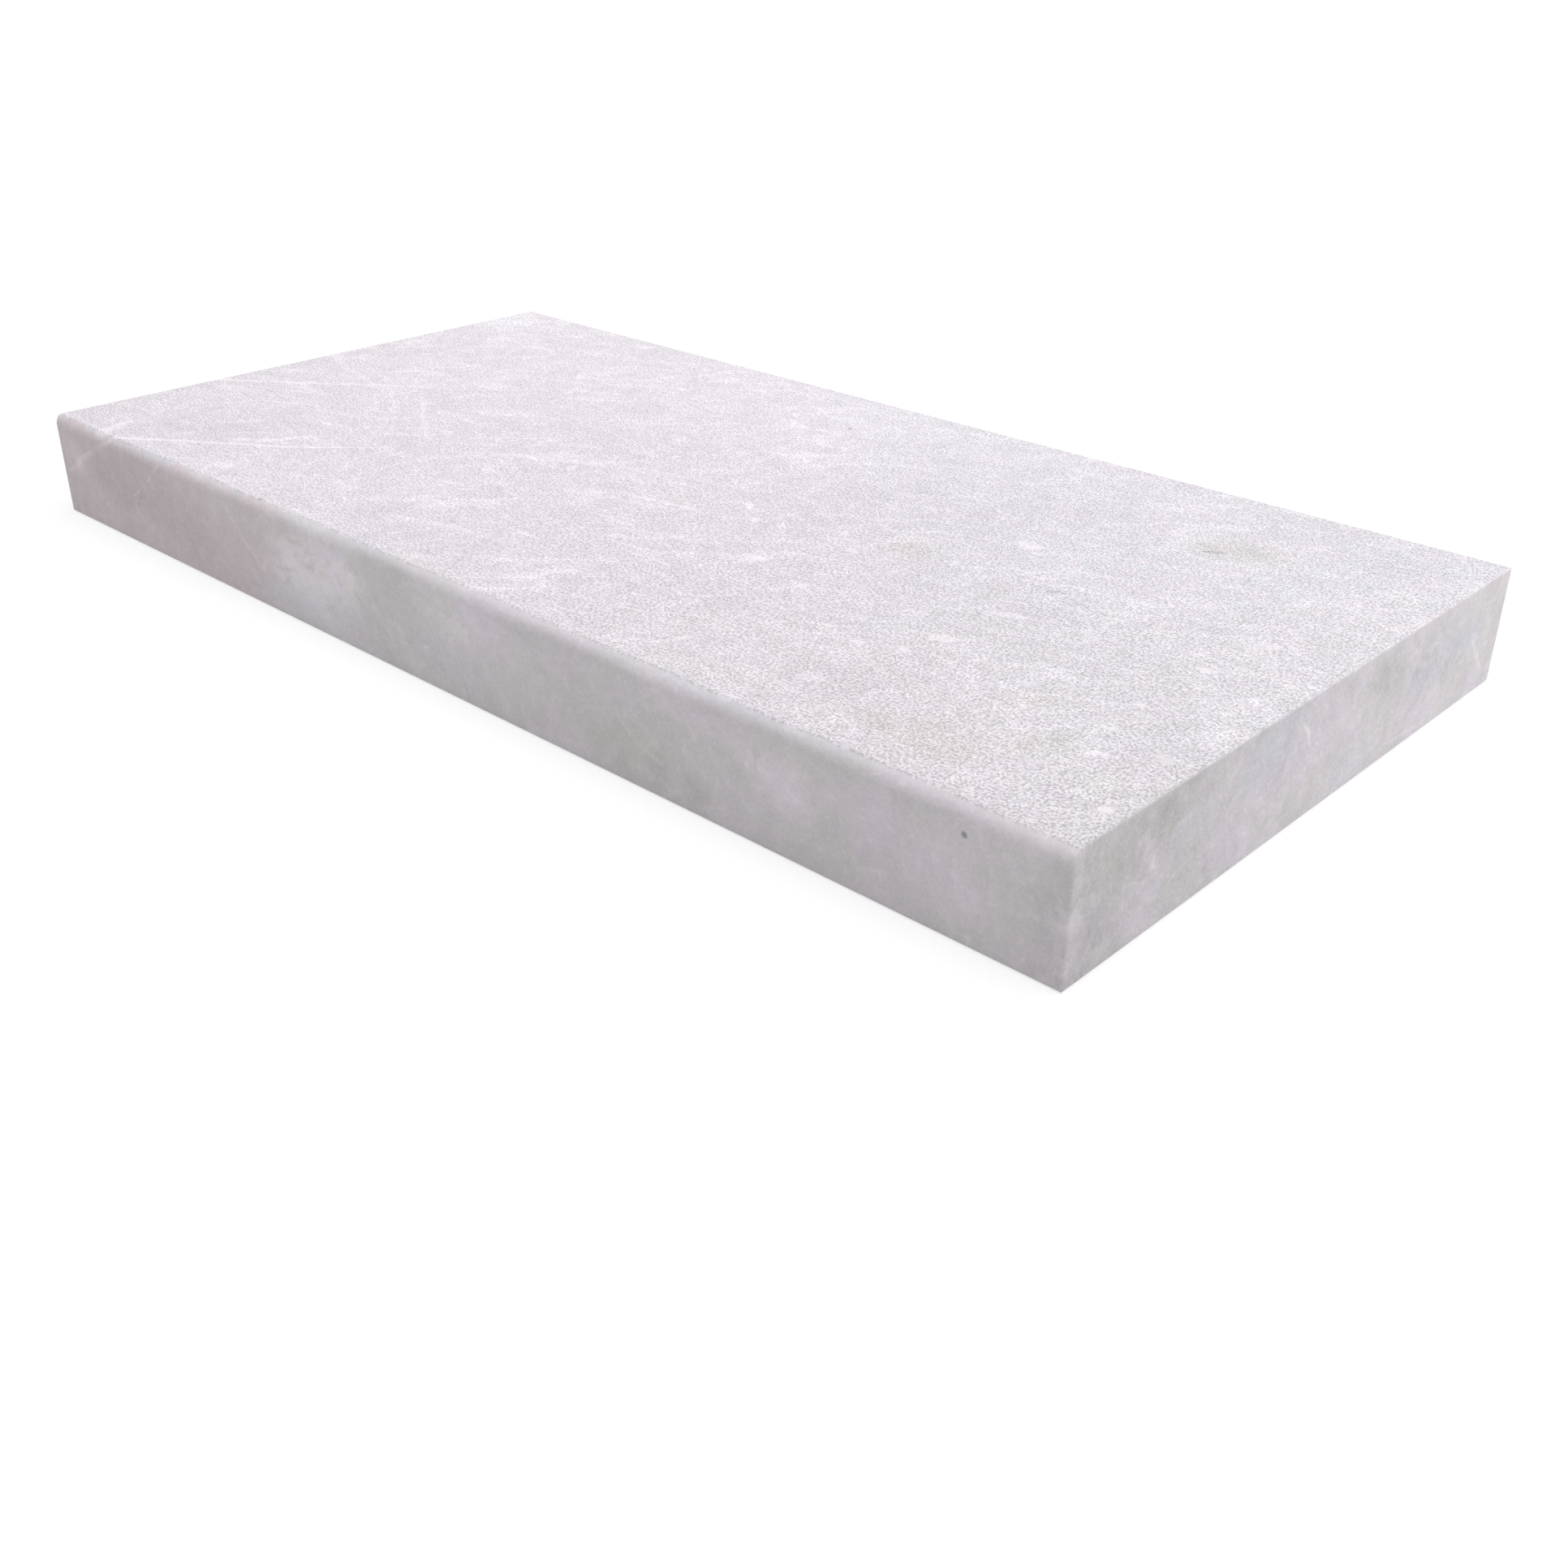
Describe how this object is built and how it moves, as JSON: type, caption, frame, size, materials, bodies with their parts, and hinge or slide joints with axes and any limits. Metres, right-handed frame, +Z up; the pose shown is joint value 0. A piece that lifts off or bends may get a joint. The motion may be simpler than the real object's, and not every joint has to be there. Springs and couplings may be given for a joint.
{
  "type": "marble pool coping",
  "caption": "Flat rectangular marble coping slab for a pool edge or wall top, with a blasted non-slip top, honed sides and a softly rounded pool edge.",
  "frame": {"origin": "middle of the underside, the bedding face", "axes": "+X along the pool edge (the slab's length), -Y towards the pool (the rounded long edge), +Y towards the paving, +Z up"},
  "size_m": [0.61, 0.305, 0.05],
  "materials": {
    "marble": "blasted to a fine grain on top, honed matt on the sides and the rounded edge, sawn underneath"
  },
  "bodies": {
    "root": {"coping_slab": "marble"}
  },
  "joints": []
}
